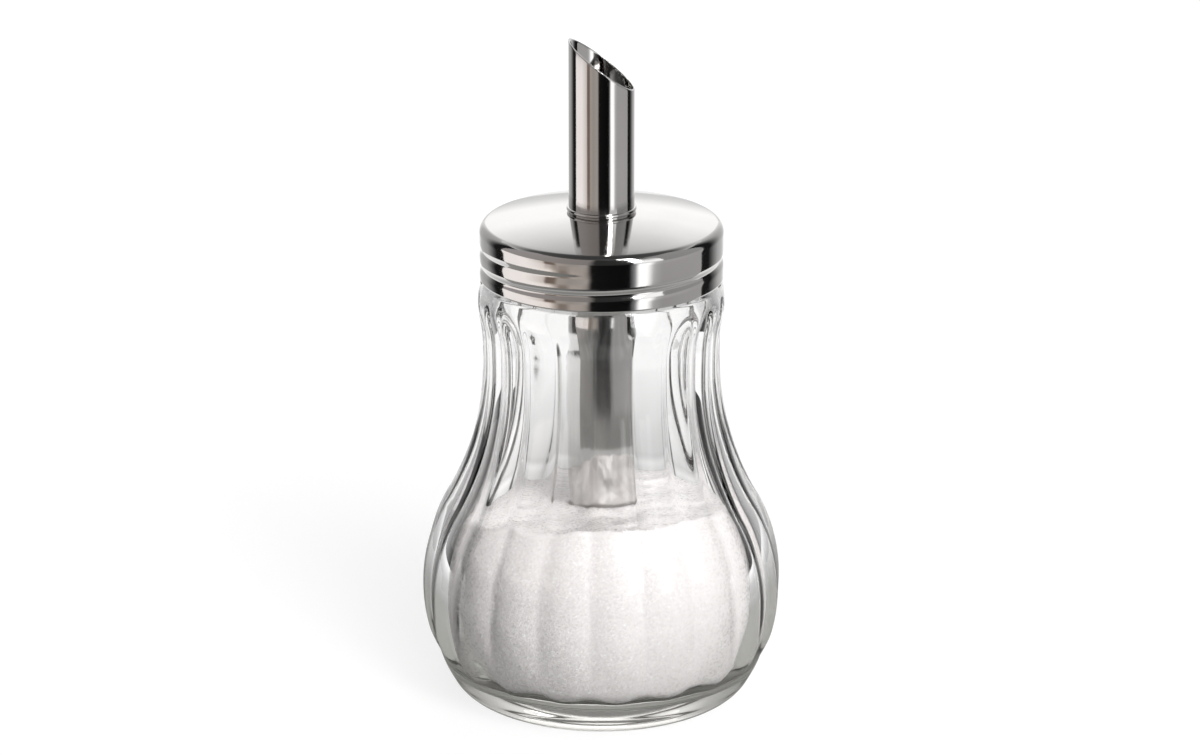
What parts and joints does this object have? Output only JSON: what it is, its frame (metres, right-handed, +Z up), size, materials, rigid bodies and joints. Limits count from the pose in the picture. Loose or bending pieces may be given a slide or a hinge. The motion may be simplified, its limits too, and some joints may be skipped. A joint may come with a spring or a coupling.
{
  "type": "sugar dispenser",
  "caption": "Fluted glass sugar dispenser with a screwed steel lid and an upright pour tube whose inner gravity flap opens when the jar is tipped.",
  "frame": {"origin": "centre of the glass foot, on the table", "axes": "+Z up along the jar and the tube, +X the side that the slanted mouth faces, -Y the front"},
  "size_m": [0.0804, 0.0804, 0.1501],
  "materials": {
    "glass": "clear pressed glass",
    "sugar": "white granulated sugar",
    "polished_steel": "mirror-polished stainless steel",
    "plain_steel": "plain stainless steel",
    "seal": "soft white sealing plastic"
  },
  "bodies": {
    "jar": {"jar": "glass", "sugar": "sugar"},
    "seal": {"lid_seal": "seal"},
    "lid": {"lid": "polished_steel", "pour_tube": "polished_steel", "tube_clamp": "plain_steel", "flap_seat": "plain_steel", "flap_pin": "plain_steel"},
    "flap": {"flap": "polished_steel"}
  },
  "joints": [
    {"name": "lid_rise", "type": "slide", "parent": "jar", "child": "seal", "axis": [0, 0, 1], "range_m": [0, 0.0061]},
    {"name": "lid_turn", "type": "hinge", "parent": "seal", "child": "lid", "pos_m": [0, 0, 0.1], "axis": [0, 0, 1], "range_deg": [0, 540]},
    {"name": "flap_swing", "type": "hinge", "parent": "lid", "child": "flap", "pos_m": [0.0042, 0, 0.13172], "axis": [0, 1, 0], "range_deg": [0, 40]}
  ],
  "couplings": [
    {"joint": "lid_rise", "follows": "lid_turn", "m_per_rad": 0.00063662}
  ]
}
